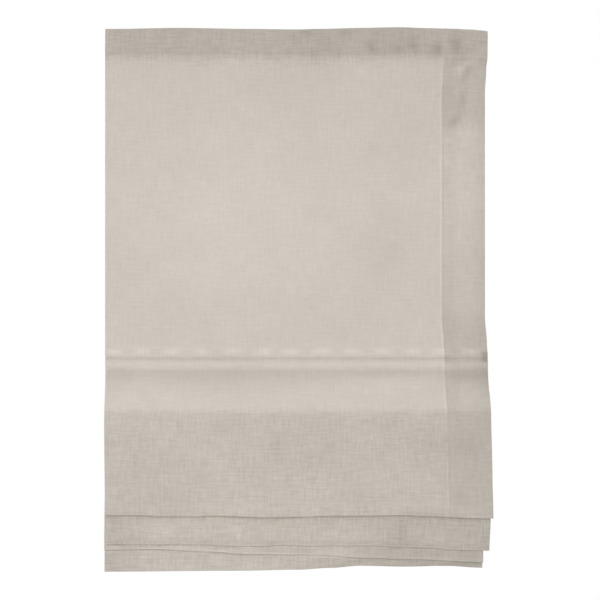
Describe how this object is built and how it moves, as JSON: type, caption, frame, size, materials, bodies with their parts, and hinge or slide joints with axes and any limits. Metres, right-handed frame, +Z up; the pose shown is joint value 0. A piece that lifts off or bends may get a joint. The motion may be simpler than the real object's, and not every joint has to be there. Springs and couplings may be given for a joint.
{
  "type": "roman blind",
  "caption": "Half-raised roman blind of natural linen: a hemmed panel with rod pockets, folded into a hanging stack, on a timber headrail with hook and loop tape and cord rings.",
  "frame": {"origin": "midway between the two fixing screw holes, on the headrail's top face", "axes": "+Z up, +X to the right as seen from the room, +Y towards the window"},
  "size_m": [0.6, 0.074, 0.8495],
  "materials": {
    "linen": "matt plain-weave linen",
    "cotton_tape": "woven cotton tape",
    "loop_tape": "soft looped pile",
    "hook_tape": "stiff hooked tape",
    "timber": "planed softwood",
    "fibre_rod": "satin glass fibre",
    "plastic_tip": "satin",
    "plastic_ring": "gloss",
    "brass": "bright plated",
    "aluminium": "mill finish",
    "plastic_cap": "satin"
  },
  "bodies": {
    "root": {"bar_cap_left": "plastic_cap", "bar_cap_right": "plastic_cap", "cord_ring_1_left": "plastic_ring", "cord_ring_1_right": "plastic_ring", "cord_ring_2_left": "plastic_ring", "cord_ring_2_right": "plastic_ring", "cord_ring_3_left": "plastic_ring", "cord_ring_3_right": "plastic_ring", "cord_ring_4_left": "plastic_ring", "cord_ring_4_right": "plastic_ring", "headrail": "timber", "hook_tape": "hook_tape", "linen_panel": "linen", "loop_tape": "loop_tape", "pocket_tape_1": "cotton_tape", "pocket_tape_2": "cotton_tape", "pocket_tape_3": "cotton_tape", "pocket_tape_4": "cotton_tape", "rod_1": "fibre_rod", "rod_2": "fibre_rod", "rod_3": "fibre_rod", "rod_4": "fibre_rod", "rod_tip_1_left": "plastic_tip", "rod_tip_1_right": "plastic_tip", "rod_tip_2_left": "plastic_tip", "rod_tip_2_right": "plastic_tip", "rod_tip_3_left": "plastic_tip", "rod_tip_3_right": "plastic_tip", "rod_tip_4_left": "plastic_tip", "rod_tip_4_right": "plastic_tip", "screw_eye_draw": "brass", "screw_eye_left": "brass", "screw_eye_right": "brass", "weight_bar": "aluminium"}
  },
  "joints": []
}
